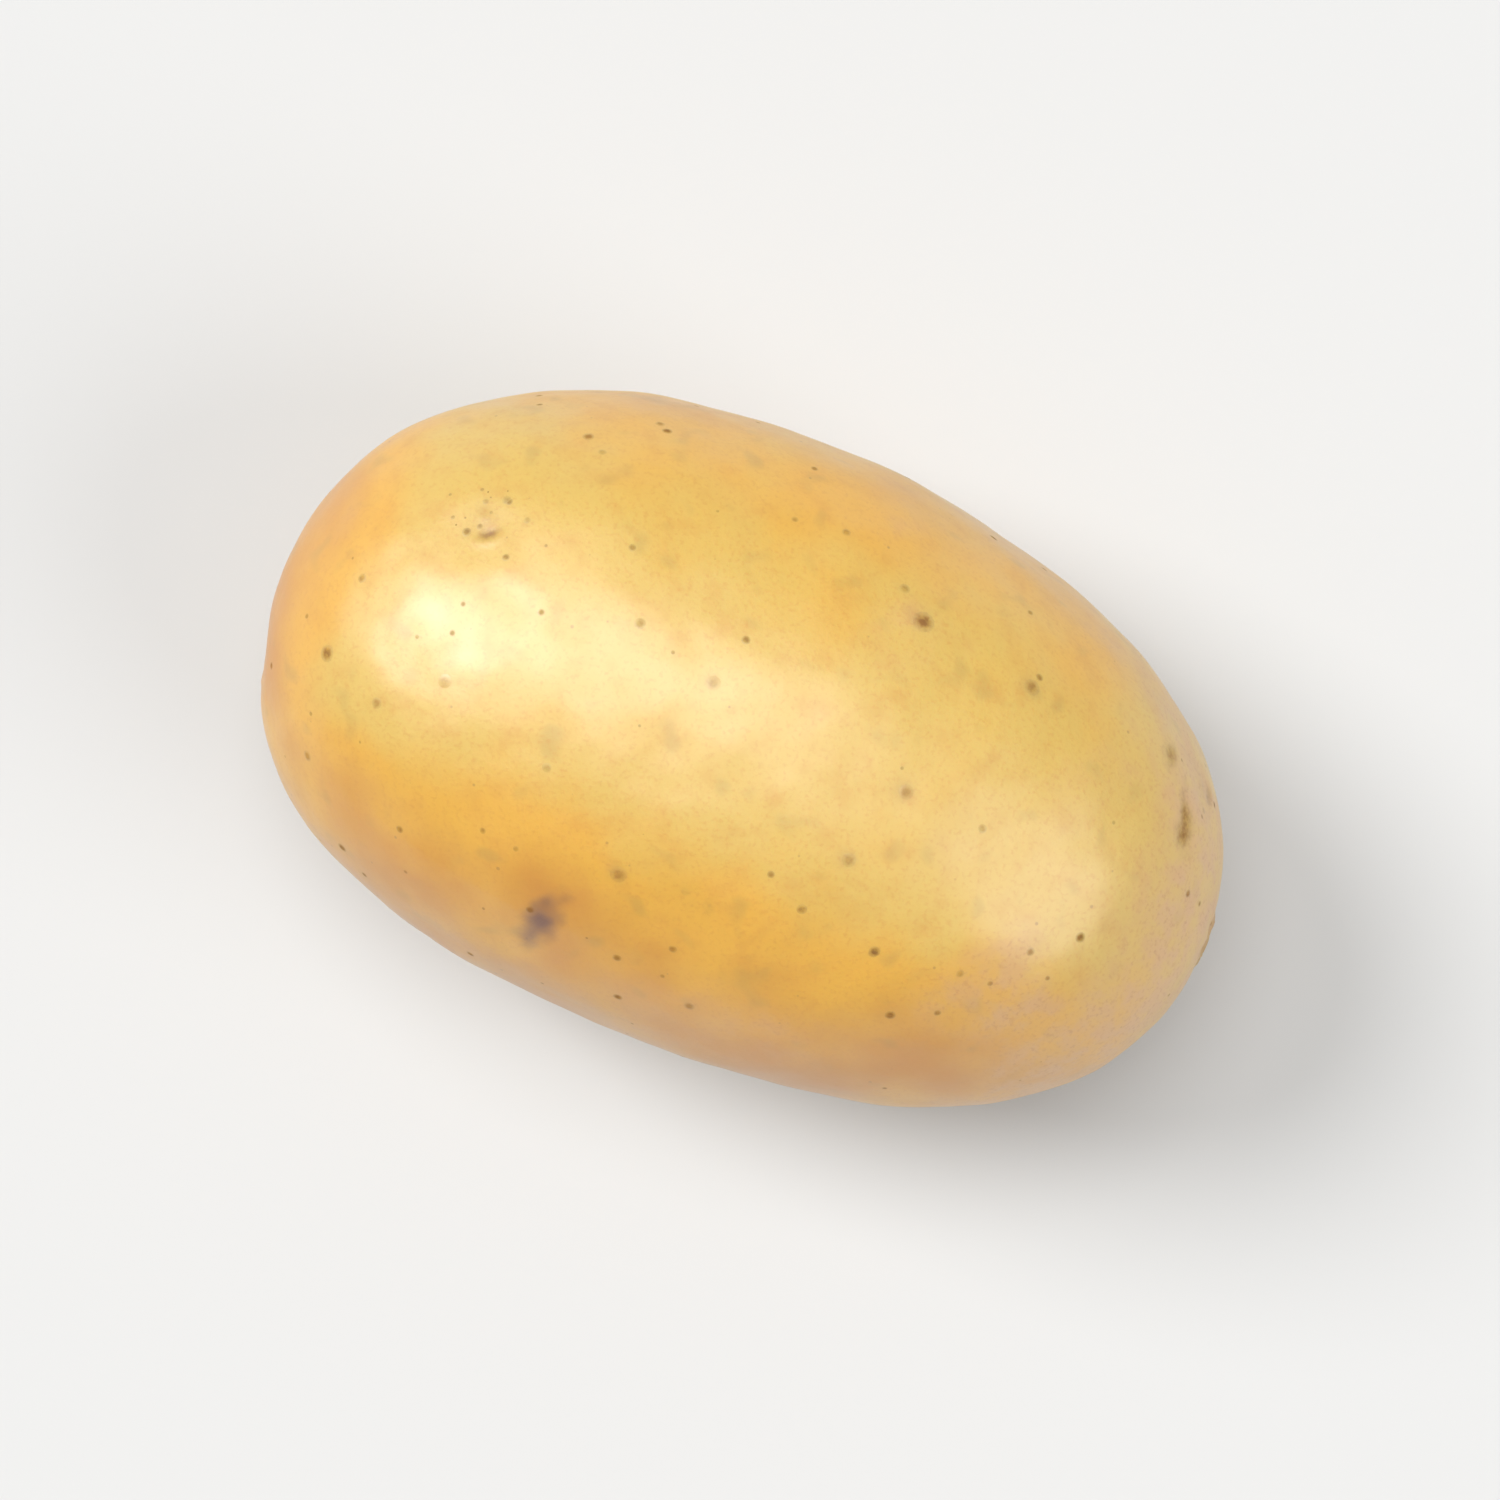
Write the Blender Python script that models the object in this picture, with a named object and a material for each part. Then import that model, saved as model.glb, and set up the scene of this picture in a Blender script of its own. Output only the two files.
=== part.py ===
"""A medium yellow potato, one solid tuber lying on the small flat spot under its belly.

The long axis is X, from the rose end at -X, where the eyes crowd together, to the stem end at +X,
where the tuber hung on its runner. Y is across, Z is up, and the origin is the middle of the box at
the level that the tuber rests on. A place on the skin is told as (along, around): along runs from
-1 at the rose end to +1 at the stem end, and around is the angle from the top towards +Y.
"""

import math

import bmesh
import bpy
from mathutils import Vector

MM = 0.001

# Overall size
LENGTH = 92 * MM
WIDTH = 58 * MM
HEIGHT = 51 * MM  # from the resting spot to the crown
SPOT_DEPTH = 0.5 * MM  # how much of the round belly is pressed flat where it rests

# Form: a fullness of 2 is an ellipse, and more is blunter
ROSE_FULLNESS = 2.38
STEM_FULLNESS = 2.16
GIRTH_FULLNESS = 2.12
CROWN_SHARE = 0.53  # share of the height that is above the widest line
SIDE_BOW = 1.1 * MM  # how far the middle bulges towards +Y
BELLY_BOW = 0.9 * MM  # how far the middle hangs below the two ends
END_TILT = 0.7 * MM  # how far the rose end is lifted and the stem end lowered

# Broad swellings and flats of the body: (along, around in degrees, height, reach)
SWELLINGS = (
    (0.38, 76, -0.6 * MM, 14 * MM),
    (-0.05, 60, 0.5 * MM, 13 * MM),
    (-0.30, -35, 0.5 * MM, 14 * MM),
    (0.55, -20, 0.5 * MM, 13 * MM),
    (0.15, -100, -0.7 * MM, 16 * MM),
    (-0.62, 130, -0.7 * MM, 12 * MM),
    (0.62, 160, 0.5 * MM, 12 * MM),
)

# The eyes wind round the tuber from the stem end to the rose end
EYE_COUNT = 8
EYE_TURN = 137.5  # degrees from one eye to the next
FIRST_EYE_AROUND = 54  # degrees
FIRST_EYE_ALONG = 0.86
LAST_EYE_ALONG = -0.97
EYE_CROWDING = 0.62  # under 1 closes the eyes up towards the rose end
FIRST_EYE_DEPTH = 0.35 * MM
LAST_EYE_DEPTH = 0.85 * MM
EYE_REACH = 4.2 * MM  # distance from an eye's centre at which its hollow has almost gone

# The scar where the runner broke off, in the middle of the stem end
SCAR_DEPTH = 0.9 * MM
SCAR_REACH = 3.6 * MM

FINENESS = 5  # subdivisions of the ball that the tuber is moulded from

SKIN_COLOUR = (0.80, 0.50, 0.14, 1.0)  # linear
SKIN_ROUGHNESS = 0.42

HALF_LENGTH = LENGTH / 2
HALF_WIDTH = WIDTH / 2


def clear_scene():
    """Removes every object, so that the file builds the same thing wherever it is run."""
    for obj in list(bpy.data.objects):
        bpy.data.objects.remove(obj, do_unlink=True)


def new_collection(name, hidden=False):
    """Makes a collection in the scene."""
    collection = bpy.data.collections.new(name)
    collection.hide_render = hidden
    bpy.context.scene.collection.children.link(collection)
    return collection


def skin_material():
    """Thin, smooth, washed potato skin: warm yellow with a soft sheen."""
    material = bpy.data.materials.new("potato_skin")
    material.use_nodes = True
    shader = material.node_tree.nodes["Principled BSDF"]
    shader.inputs["Base Color"].default_value = SKIN_COLOUR
    shader.inputs["Roughness"].default_value = SKIN_ROUGHNESS
    shader.inputs["Metallic"].default_value = 0.0
    material.diffuse_color = SKIN_COLOUR
    return material


def blend(start, end, share):
    """The value that is a share of the way from start to end."""
    return start + (end - start) * share


def bell(distance, reach):
    """1 at the middle, falling smoothly to almost nothing at reach."""
    return math.exp(-3 * (distance / reach) ** 2)


def end_fullness(along):
    """The fullness of the end that a station belongs to."""
    return ROSE_FULLNESS if along < 0 else STEM_FULLNESS


def body_point(along, around):
    """A point of the plain body, before its swellings and hollows, at a place on the skin."""
    power = end_fullness(along)
    girth = max(0.0, 1 - abs(along) ** power) ** (1 / power)
    across, up = math.sin(around), math.cos(around)
    girth /= (abs(across) ** GIRTH_FULLNESS + abs(up) ** GIRTH_FULLNESS) ** (1 / GIRTH_FULLNESS)
    rise = HEIGHT * (CROWN_SHARE if up > 0 else 1 - CROWN_SHARE)
    middle = 1 - along**2
    return Vector((
        HALF_LENGTH * along,
        HALF_WIDTH * girth * across + SIDE_BOW * middle,
        rise * girth * up - BELLY_BOW * middle - END_TILT * along,
    ))


def place_of(direction):
    """The place on the skin that a direction of the unit ball is moulded to."""
    ring = math.hypot(direction.y, direction.z)
    power = end_fullness(direction.x)
    along = direction.x / (abs(direction.x) ** power + ring**power) ** (1 / power)
    return along, math.atan2(direction.y, direction.z)


def eye_hollows():
    """The hollow round each eye, as (centre, height, reach), deeper towards the rose end."""
    for number in range(EYE_COUNT):
        share = number / (EYE_COUNT - 1)
        along = blend(FIRST_EYE_ALONG, LAST_EYE_ALONG, share**EYE_CROWDING)
        around = math.radians(FIRST_EYE_AROUND + EYE_TURN * number)
        yield body_point(along, around), -blend(FIRST_EYE_DEPTH, LAST_EYE_DEPTH, share), EYE_REACH


def relief():
    """Every swelling and hollow of the body, as (centre, height, reach)."""
    swellings = [
        (body_point(along, math.radians(around)), height, reach)
        for along, around, height, reach in SWELLINGS
    ]
    stem_scar = (body_point(1.0, 0.0), -SCAR_DEPTH, SCAR_REACH)
    return [*swellings, *eye_hollows(), stem_scar]


def mould(mesh):
    """Draws a unit ball out to the tuber, then raises the swellings and sinks the hollows."""
    for vert in mesh.verts:
        vert.co = body_point(*place_of(vert.co.normalized()))
    mesh.normal_update()
    bumps = relief()
    lifts = [
        sum(height * bell((vert.co - centre).length, reach) for centre, height, reach in bumps)
        for vert in mesh.verts
    ]
    for vert, lift in zip(mesh.verts, lifts):
        vert.co = vert.co + vert.normal * lift


def fit_to_size(mesh):
    """Scales the tuber to its length, width and height, with SPOT_DEPTH of its belly below Z = 0."""
    low = [min(vert.co[axis] for vert in mesh.verts) for axis in range(3)]
    high = [max(vert.co[axis] for vert in mesh.verts) for axis in range(3)]
    wanted_low = (-HALF_LENGTH, -HALF_WIDTH, -SPOT_DEPTH)
    wanted_high = (HALF_LENGTH, HALF_WIDTH, HEIGHT)
    for vert in mesh.verts:
        for axis in range(3):
            share = (vert.co[axis] - low[axis]) / (high[axis] - low[axis])
            vert.co[axis] = blend(wanted_low[axis], wanted_high[axis], share)


def new_object(name, mesh, collection):
    """Turns a finished bmesh into an object of a collection."""
    data = bpy.data.meshes.new(name)
    mesh.to_mesh(data)
    mesh.free()
    obj = bpy.data.objects.new(name, data)
    collection.objects.link(obj)
    return obj


def make_tuber(collection):
    """The whole round potato, with its belly not yet flattened."""
    mesh = bmesh.new()
    bmesh.ops.create_icosphere(mesh, subdivisions=FINENESS, radius=1.0)
    mould(mesh)
    fit_to_size(mesh)
    tuber = new_object("potato", mesh, collection)
    tuber.data.shade_smooth()
    tuber.data.materials.append(skin_material())
    return tuber


def make_ground_cutter(collection):
    """A block with its top at Z = 0, for flattening the belly."""
    depth = 10 * SPOT_DEPTH
    mesh = bmesh.new()
    bmesh.ops.create_cube(mesh, size=1.0)
    bmesh.ops.scale(mesh, vec=(LENGTH, WIDTH, depth), verts=mesh.verts)
    bmesh.ops.translate(mesh, vec=(0, 0, -depth / 2), verts=mesh.verts)
    cutter = new_object("ground_cutter", mesh, collection)
    cutter.hide_render = True
    cutter.display_type = "WIRE"
    return cutter


def flatten_belly(tuber, cutter):
    """Cuts the small flat spot that the potato rests on."""
    cut = tuber.modifiers.new("resting_spot", "BOOLEAN")
    cut.operation = "DIFFERENCE"
    cut.solver = "EXACT"
    cut.object = cutter


def main():
    """Builds the potato."""
    clear_scene()
    tuber = make_tuber(new_collection("potato"))
    cutter = make_ground_cutter(new_collection("cutters", hidden=True))
    flatten_belly(tuber, cutter)


main()
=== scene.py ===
"""The looks of one washed yellow potato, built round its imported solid.

The tuber lies along X, with its rose end, where the eyes crowd, at -X and its stem end at +X. Y is
across and Z is up. Lengths are in metres unless a field says millimetres, and MM turns those into
metres. A place on the skin is told as (along, around), where along runs from -1 at the rose end to
+1 at the stem end and around is the angle from the top towards +Y, or, on the crown, as the (x, y)
below which it lies.
"""

from __future__ import annotations

import logging
import math
from collections.abc import Iterable, Mapping, Sequence
from dataclasses import dataclass, field
from enum import Enum
from functools import partial

import bmesh
import bpy
import numpy as np
from mathutils import Matrix, Vector, noise
from mathutils.bvhtree import BVHTree

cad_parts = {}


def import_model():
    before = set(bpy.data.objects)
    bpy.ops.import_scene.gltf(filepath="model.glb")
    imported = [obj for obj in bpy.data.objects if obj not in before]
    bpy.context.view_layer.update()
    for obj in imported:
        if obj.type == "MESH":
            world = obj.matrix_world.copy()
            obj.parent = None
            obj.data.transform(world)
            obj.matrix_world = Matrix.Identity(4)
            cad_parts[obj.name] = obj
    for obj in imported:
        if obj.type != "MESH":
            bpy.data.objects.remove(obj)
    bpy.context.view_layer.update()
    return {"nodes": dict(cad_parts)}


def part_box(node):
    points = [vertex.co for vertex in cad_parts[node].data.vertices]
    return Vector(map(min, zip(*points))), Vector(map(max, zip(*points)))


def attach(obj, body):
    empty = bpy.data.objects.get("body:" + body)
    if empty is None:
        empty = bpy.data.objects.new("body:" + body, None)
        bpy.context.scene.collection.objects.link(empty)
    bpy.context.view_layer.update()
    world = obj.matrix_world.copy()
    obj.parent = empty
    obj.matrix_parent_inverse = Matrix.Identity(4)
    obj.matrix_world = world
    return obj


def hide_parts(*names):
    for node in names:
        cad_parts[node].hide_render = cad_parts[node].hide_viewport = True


LOG = logging.getLogger("potato")
MM = 0.001
GOLDEN_ANGLE = math.radians(137.5)

Source = bpy.types.Node | bpy.types.NodeSocket  # what a node's input is linked from
FLOAT = {"data_type": "FLOAT"}
FLOAT_POINT = {"data_type": "FLOAT", "domain": "POINT"}
VECTOR = {"data_type": "FLOAT_VECTOR"}
SMOOTH = {"interpolation_type": "SMOOTHSTEP"}


class Mask(Enum):
    """The per-vertex masks that the skin's mesh hands to its material, each from 0 to 1."""

    DEPTH = "depth"  # painted highlight and shade: pale lemon on the crown as a painted highlight, deeper gold to amber on the flanks and at the rose end as painted shade
    EYE = "eye"  # the brown stain in and round an eye
    CORK = "cork"  # dead, corky skin: lenticels, scars and the stem end
    BRUISE = "bruise"  # grey-violet where a knock bled under the skin
    HALO = "halo"  # the faint tan ring round some lenticels
    DUST = "dust"  # dry, paler skin with a little soil dust left in it; on the -Y flank it is partly painted shade
    SCATTER = "scatter"  # how thickly lenticels grow

    def read(self, tree: bpy.types.NodeTree) -> bpy.types.NodeSocket:
        """The mask's value, as a material reads it."""
        return add_node(tree, "ShaderNodeAttribute", {"attribute_name": self.value}).outputs["Fac"]


# -------- helpers


def put(name: str, data: bpy.types.ID) -> bpy.types.Object:
    """Puts a new object in the scene.

    Args:
        name: what it is called.
        data: its mesh, light or camera.

    Returns:
        The object.
    """
    made = bpy.data.objects.new(name, data)
    bpy.context.scene.collection.objects.link(made)
    return made


def linear(hex_colour: str) -> tuple[float, float, float, float]:
    """Turns an sRGB hex colour into the linear colour that shaders take.

    Args:
        hex_colour: six hex digits after a "#".

    Returns:
        Red, green, blue and an alpha of 1.
    """
    channels = [int(hex_colour[i : i + 2], 16) / 255 for i in (1, 3, 5)]
    red, green, blue = (
        c / 12.92 if c <= 0.04045 else ((c + 0.055) / 1.055) ** 2.4 for c in channels
    )
    return red, green, blue, 1.0


def add_node(
    tree: bpy.types.NodeTree,
    kind: str,
    settings: Mapping[str, object] | None = None,
    inputs: Mapping[str | int, object] | Sequence[object] = (),
) -> bpy.types.Node:
    """Adds a node, sets its properties, and links or sets its inputs.

    Args:
        tree: the tree that gets the node.
        kind: the node's bl_idname.
        settings: the node's properties by name.
        inputs: its inputs by name or number, or in a row from the first, each a plain value, an
            output to link from, or a node to link from by the first output that it has in use.

    Returns:
        The new node.
    """
    node = tree.nodes.new(kind)
    for name, value in (settings or {}).items():
        setattr(node, name, value)
    for key, value in inputs.items() if isinstance(inputs, Mapping) else enumerate(inputs):
        if isinstance(value, bpy.types.Node):
            value = next(output for output in value.outputs if output.enabled)
        if isinstance(value, bpy.types.NodeSocket):
            tree.links.new(value, node.inputs[key])
        else:
            node.inputs[key].default_value = value
    return node


def bell(distance: np.ndarray, reach: float) -> np.ndarray:
    """A smooth hump over distances from its middle or ridge, 1 at 0 and 5% at its reach."""
    return np.exp(-3 * (distance / reach) ** 2)


def step(values: np.ndarray, low: float, high: float) -> np.ndarray:
    """Rises smoothly from 0 where the values are low or less to 1 where they are high or more."""
    share = np.clip((values - low) / (high - low), 0, 1)
    return share * share * (3 - 2 * share)


def noise_at(points: np.ndarray, grain: float, octaves: int = 3) -> np.ndarray:
    """Smooth noise in space with lumps of one size, mostly from -0.5 to 0.5."""
    scaled = points / grain
    return np.array([noise.fractal(Vector(p), 1.0, 2.0, octaves) for p in scaled])


# -------- the tuber's form


@dataclass(frozen=True)
class Patch:
    """A small region of skin with flat axes of its own.

    Attributes:
        centre: its middle, on the skin.
        to_rose: the direction along the skin towards the rose end.
        round: the direction along the skin across that.
    """

    centre: np.ndarray
    to_rose: np.ndarray
    round: np.ndarray

    @classmethod
    def on(cls, centre: Vector, outward: Vector) -> Patch:
        """Makes the patch at a point of the skin.

        Args:
            centre: the point.
            outward: the normal there.

        Returns:
            The patch.
        """
        at_a_tip = abs(outward.x) > 0.99
        towards = Vector((0, 0, 1)) if at_a_tip else Vector((-1, 0, 0))
        to_rose = (towards - outward * towards.dot(outward)).normalized()
        return cls(*(np.array(v) for v in (centre, to_rose, outward.cross(to_rose))))

    def spread(self, points: np.ndarray, turn: float = 0.0) -> tuple[np.ndarray, np.ndarray]:
        """Where points lie on the patch's flat axes, each at its true distance from the centre.

        Args:
            points: the points, one a row.
            turn: an angle to turn the axes by.

        Returns:
            How far each point lies towards the rose end, and how far round.
        """
        offset = points - self.centre
        forward, across = offset @ self.to_rose, offset @ self.round
        flat = np.maximum(np.hypot(forward, across), 0.001 * MM)
        stretch = np.linalg.norm(offset, axis=1) / flat
        cosine, sine = math.cos(turn) * stretch, math.sin(turn) * stretch
        return forward * cosine + across * sine, across * cosine - forward * sine

    def at(self, forward: float, across: float) -> np.ndarray:
        """The point that lies this far along each of the patch's flat axes."""
        return self.centre + self.to_rose * forward + self.round * across


@dataclass
class TuberForm:
    """The tuber's smooth form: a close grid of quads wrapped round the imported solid.

    Attributes:
        solid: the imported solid, which gives the form.
        spacing: about how far apart the grid's points are.
        quarter_arc: length of a quarter turn of a round form, as a share of its half size.
        softening_rounds: how often neighbours are averaged, which takes out the solid's facets.
        crown_share: share of the height that lies above the widest line.
        side_bow: how far the middle bulges towards +Y.
        mesh: the grid.
        tree: finds points on the grid.
    """

    solid: bpy.types.Object
    spacing: float = 0.388 * MM
    quarter_arc: float = 1.45
    softening_rounds: int = 34
    crown_share: float = 0.53
    side_bow: float = 1.1 * MM
    mesh: bpy.types.Mesh = field(init=False)
    tree: BVHTree = field(init=False)

    def __post_init__(self) -> None:
        """Reads the solid's box and builds the mesh."""
        low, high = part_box(self.solid.name)
        self.low, self.high = np.array(low), np.array(high)
        self.half = (self.high - self.low) / 2
        self.middle = (self.high + self.low) / 2
        self.mesh = self._ball_grid()
        self.points = self._wrapped()
        self._store()

    def _ball_grid(self) -> bpy.types.Mesh:
        """Makes a box of six welded grids, its points set close to where the tuber's will be.

        Returns:
            The mesh, still a cube from -1 to 1.
        """
        counts = [round(half * self.quarter_arc / self.spacing) for half in self.half]
        box = bmesh.new()
        faces = (
            (0, "X", 0, 1),
            (180, "X", 0, 1),
            (90, "X", 0, 2),
            (-90, "X", 0, 2),
            (90, "Y", 2, 1),
            (-90, "Y", 2, 1),
        )
        for degrees, axis, first, second in faces:
            turn = Matrix.Rotation(math.radians(degrees), 4, axis)
            place = turn @ Matrix.Translation((0, 0, 1))
            bmesh.ops.create_grid(
                box, x_segments=counts[first], y_segments=counts[second], size=1, matrix=place
            )
        weld = 0.1 / max(counts)
        bmesh.ops.remove_doubles(box, verts=box.verts, dist=weld)
        mesh = bpy.data.meshes.new("potato_skin")
        box.to_mesh(mesh)
        box.free()
        return mesh

    def _wrapped(self) -> np.ndarray:
        """Wraps the grid round the solid and softens its facets away.

        Returns:
            The skin's points, one a row.
        """
        cube = np.empty(len(self.mesh.vertices) * 3)
        self.mesh.vertices.foreach_get("co", cube)
        ball = np.tan(cube.reshape(-1, 3) * math.pi / 4)
        ball /= np.linalg.norm(ball, axis=1, keepdims=True)
        spokes = ball * self.half
        surface = self._tree_of(self.solid.data)
        centre = Vector(self.middle)
        hits = [surface.ray_cast(centre, Vector(spoke))[0] - centre for spoke in spokes]
        reach = np.array([hit.length for hit in hits]) / np.linalg.norm(spokes, axis=1)
        here, there = self._neighbours()
        count = len(reach)
        for _ in range(self.softening_rounds):
            reach = np.bincount(here, reach[there], count) / np.bincount(here, minlength=count)
        return self.fitted(self.middle + spokes * reach[:, None])

    def _neighbours(self) -> tuple[np.ndarray, np.ndarray]:
        """Finds which points share an edge.

        Returns:
            The points at one end of every edge and at its other end, each edge told both ways.
        """
        edges = np.empty(len(self.mesh.edges) * 2, np.int32)
        self.mesh.edges.foreach_get("vertices", edges)
        first, second = edges.reshape(-1, 2).T
        return np.concatenate([first, second]), np.concatenate([second, first])

    def fitted(self, points: np.ndarray) -> np.ndarray:
        """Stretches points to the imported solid's box, flat where it rests.

        Args:
            points: the skin's points, one a row.

        Returns:
            The points in the box.
        """
        low, high = points.min(axis=0), points.max(axis=0)
        low[2] = max(low[2], self.low[2])
        stretched = self.low + (points - low) * (self.high - self.low) / (high - low)
        return np.maximum(stretched, self.low)

    @staticmethod
    def _tree_of(mesh: bpy.types.Mesh) -> BVHTree:
        """A tree for finding points on a mesh."""
        corners = [vertex.co.copy() for vertex in mesh.vertices]
        return BVHTree.FromPolygons(corners, [tuple(face.vertices) for face in mesh.polygons])

    def _store(self) -> None:
        """Writes the points to the mesh, and reads its normals and search tree again."""
        self.mesh.vertices.foreach_set("co", self.points.ravel())
        self.mesh.update()
        self.mesh.shade_smooth()
        normals = np.empty(self.points.size)
        self.mesh.vertex_normals.foreach_get("vector", normals)
        self.normals = normals.reshape(-1, 3)
        self.tree = self._tree_of(self.mesh)

    def raise_by(self, lift: np.ndarray) -> None:
        """Lifts each point along its normal, hollows being negative, and fits the box again."""
        self.points = self.fitted(self.points + self.normals * lift[:, None])
        self._store()

    def place(self, along: float, around: float) -> Patch:
        """Finds the patch of skin at a place.

        Args:
            along: -1 at the rose end to +1 at the stem end.
            around: the angle from the top towards +Y.

        Returns:
            The patch.
        """
        up = self.crown_share if math.cos(around) > 0 else 1 - self.crown_share
        height = self.high[2] - self.low[2]
        spine = Vector((
            self.half[0] * along,
            self.side_bow * (1 - along**2),
            self.low[2] + height * (1 - self.crown_share),
        ))
        spoke = Vector((0, self.half[1] * math.sin(around), height * up * math.cos(around)))
        return self.struck(spine, spoke)

    def struck(self, start: Vector, heading: Vector) -> Patch:
        """The patch of skin that a line from a point meets first."""
        return Patch.on(*self.tree.ray_cast(start, heading)[:2])

    def below(self, x: float, y: float) -> Patch:
        """The patch of skin that is seen from above at (x, y)."""
        return self.struck(Vector((x, y, 1)), Vector((0, 0, -1)))

    def stem_end(self) -> Patch:
        """The patch at the tip of the stem end."""
        return self.struck(Vector(self.middle), Vector((1, 0, 0)))


# -------- what grows on the tuber


@dataclass(frozen=True)
class Fleck:
    """One lenticel or dead bud scale, a tiny corky fleck.

    Attributes:
        centre: where it lies on the skin, near enough.
        radius: its radius.
        tone: how dark it is, from 0 to 1.
    """

    centre: np.ndarray
    radius: float
    tone: float


@dataclass
class Eye:
    """A resting bud in its hollow, under the curved brow that a leaf scale left.

    The brow is on the side of the stem end, and the buds sit just inside its curve.

    Attributes:
        patch: where it is.
        boldness: how deep and dark it is, from 0 to 1.
        turn: how far its brow is turned from facing the stem end.
        span: how wide it is, as a multiple of the usual.
        fleck_count: how many dead bud scales lie in it.
        seed: what its flecks are drawn from.

    The other fields are sizes and tones, each of the part that its name starts with: the hollow,
    the brow at its edge, the dark crease under the brow, the brown wash round it all, the bud, and
    the flecks.
    """

    patch: Patch
    boldness: float
    turn: float
    span: float
    fleck_count: int
    seed: int
    hollow_reach: float = 3.6 * MM
    hollow_depth: float = 0.20 * MM
    brow_radius: float = 2.1 * MM
    brow_width: float = 0.8 * MM
    brow_rise: float = 0.13 * MM
    brow_sweep: float = math.radians(75)
    crease_radius: float = 1.4 * MM
    crease_width: float = 0.8 * MM
    crease_sweep: float = math.radians(55)
    bud_reach: float = 0.9 * MM
    bud_rise: float = 0.10 * MM
    bud_offset: float = 0.3 * MM
    wash_tone: float = 0.22
    bud_tone: float = 0.25
    crease_tone: float = 1.3
    fleck_reaches: tuple[float, float] = (0.2, 1.1)  # as multiples of the hollow's reach
    fleck_sweep: float = 1.9  # radians to each side
    fleck_radii: tuple[float, float] = (0.22 * MM, 0.64 * MM)
    fleck_tones: tuple[float, float] = (0.45, 1.0)

    def _spread(self, points: np.ndarray) -> tuple[np.ndarray, np.ndarray]:
        """Where points lie from the eye's middle, at the usual width."""
        forward, across = self.patch.spread(points, self.turn)
        return forward / self.span, across / self.span

    def _arc(
        self, points: np.ndarray, radius: float, width: float, sweep: float
    ) -> np.ndarray:
        """How far on an arc on the brow's side each point is.

        Args:
            points: the skin's points.
            radius: the arc's radius.
            width: how far from the arc its effect reaches.
            sweep: the angle to each side at which it ends.

        Returns:
            1 on the arc, falling to 0 off it.
        """
        forward, across = self._spread(points)
        bearing = np.abs(np.arctan2(across, -forward))
        return bell(np.hypot(forward, across) - radius, width) * (1 - step(bearing, 0.0, sweep))

    def relief(self, points: np.ndarray) -> np.ndarray:
        """Works out how far the eye lifts the skin.

        Args:
            points: the skin's points, one a row.

        Returns:
            How far each point is lifted, with the hollow negative.
        """
        forward, across = self._spread(points)
        hollow = bell(np.hypot(forward, across), self.hollow_reach)
        brow = self._arc(points, self.brow_radius, self.brow_width, self.brow_sweep)
        bud = bell(np.hypot(forward - self.bud_offset, across), self.bud_reach)
        lift = self.brow_rise * (brow - self._crease(points)) + self.bud_rise * bud
        return self.boldness * self.span**2 * (lift - self.hollow_depth * hollow)

    def _crease(self, points: np.ndarray) -> np.ndarray:
        """The dark crease under the brow, no wider in a wide eye, from 0 to 1."""
        width = self.crease_width / self.span
        return self._arc(points, self.crease_radius, width, self.crease_sweep)

    def stain(self, points: np.ndarray) -> np.ndarray:
        """Works out how brown the eye makes the skin.

        Args:
            points: the skin's points, one a row.

        Returns:
            How brown each point is, from 0 to 1 or a little over.
        """
        forward, across = self._spread(points)
        distance = np.hypot(forward, across)
        wash = self.wash_tone * bell(distance, self.hollow_reach)
        bud = self.bud_tone * bell(distance, self.bud_reach)
        return self.boldness * (wash + bud + self.crease_tone * self._crease(points))

    def flecks(self) -> Iterable[Fleck]:
        """Scatters the dead bud scales, on the far side of the buds from the brow.

        Returns:
            The flecks, one at a time.
        """
        rng = np.random.default_rng(self.seed)
        for _ in range(self.fleck_count):
            distance = rng.uniform(*self.fleck_reaches) * self.hollow_reach * math.sqrt(self.span)
            bearing = self.turn + rng.uniform(-self.fleck_sweep, self.fleck_sweep)
            place = self.patch.at(distance * math.cos(bearing), distance * math.sin(bearing))
            smallest, largest = self.fleck_radii
            radius = smallest + (largest - smallest) * rng.random() ** 2
            yield Fleck(place, radius, self.boldness * rng.uniform(*self.fleck_tones))


@dataclass
class EyeSpiral:
    """All the eyes, which wind round the tuber from the stem end to the rose end.

    Attributes:
        form: the tuber they grow on.
        first_along: the station of the one nearest the stem end.
        last_along: the station of the one nearest the rose end.
        first_around: the angle of the first.
        crowding: under 1 closes them up towards the rose end.
        traits: each one's boldness, turn in degrees, span and count of flecks.
    """

    form: TuberForm
    first_along: float = 0.86
    last_along: float = -0.97
    first_around: float = math.radians(54)
    crowding: float = 0.62
    traits: tuple[tuple[float, float, float, int], ...] = (
        (0.6, 15, 1.1, 4),
        (1.0, -20, 1.9, 6),
        (0.2, 10, 1.0, 2),
        (1.0, 25, 1.9, 5),
        (1.0, -15, 1.8, 6),
        (0.7, -58, 1.0, 16),
        (1.0, 30, 1.6, 5),
        (0.9, -10, 1.2, 6),
    )

    def eyes(self) -> list[Eye]:
        """Places every eye.

        Returns:
            The eyes, from the stem end to the rose end.
        """
        found = []
        for number, (boldness, turn, span, fleck_count) in enumerate(self.traits):
            share = (number / (len(self.traits) - 1)) ** self.crowding
            along = self.first_along + (self.last_along - self.first_along) * share
            patch = self.form.place(along, self.first_around + GOLDEN_ANGLE * number)
            found.append(Eye(patch, boldness, math.radians(turn), span, fleck_count, seed=number))
        return found


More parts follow.
